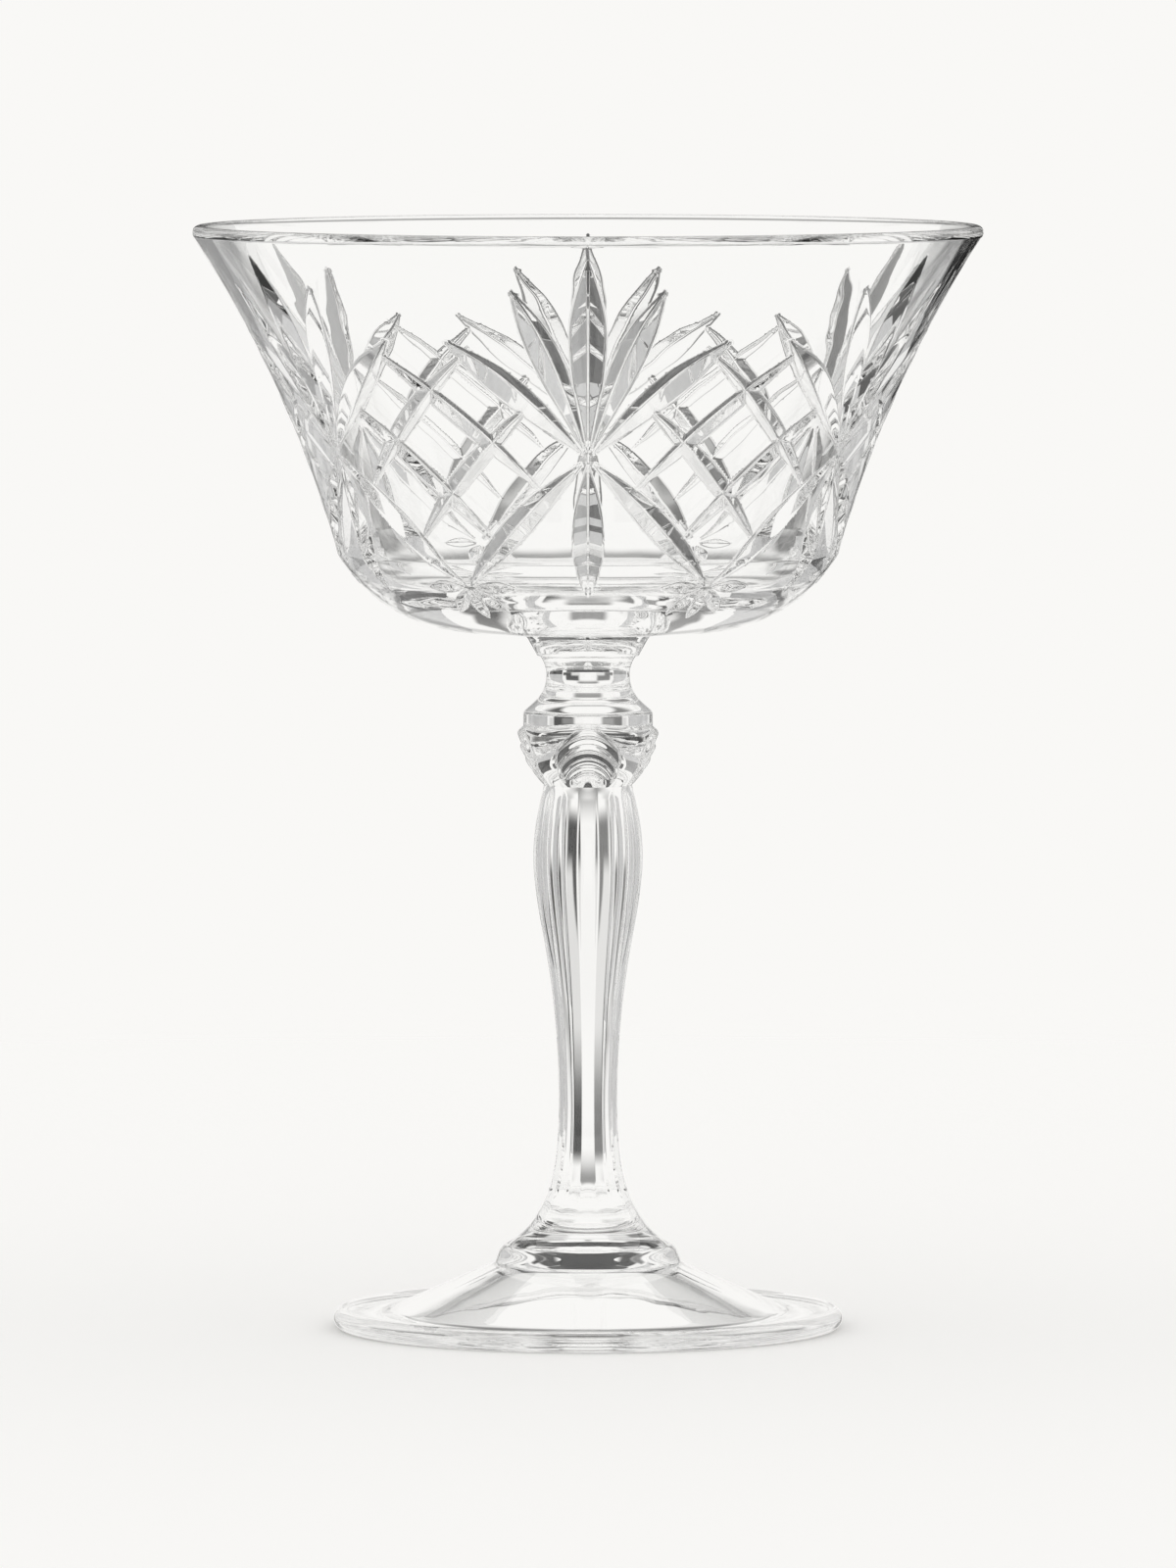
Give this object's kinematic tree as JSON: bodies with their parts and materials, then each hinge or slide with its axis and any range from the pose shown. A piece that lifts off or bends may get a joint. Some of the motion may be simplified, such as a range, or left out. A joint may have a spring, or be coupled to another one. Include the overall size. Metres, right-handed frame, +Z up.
{
  "type": "coupe glass",
  "caption": "Stemmed coupe glass with a flared bowl cut in fans and diamonds, a ribbed knop, a fluted stem and a round foot, for serving drinks.",
  "frame": {"origin": "centre of the ring under the foot, on the surface that the glass stands on", "axes": "+Z up along the glass's axis, the front with a fan facing it towards -Y, +X to the right seen from the front"},
  "size_m": [0.108, 0.108, 0.151],
  "materials": {
    "cut_glass": "polished, mitre cut",
    "clear_glass": "fire polished"
  },
  "bodies": {
    "root": {"bowl": "cut_glass", "boss": "clear_glass", "knop": "clear_glass", "stem": "clear_glass", "foot": "clear_glass"}
  },
  "joints": []
}
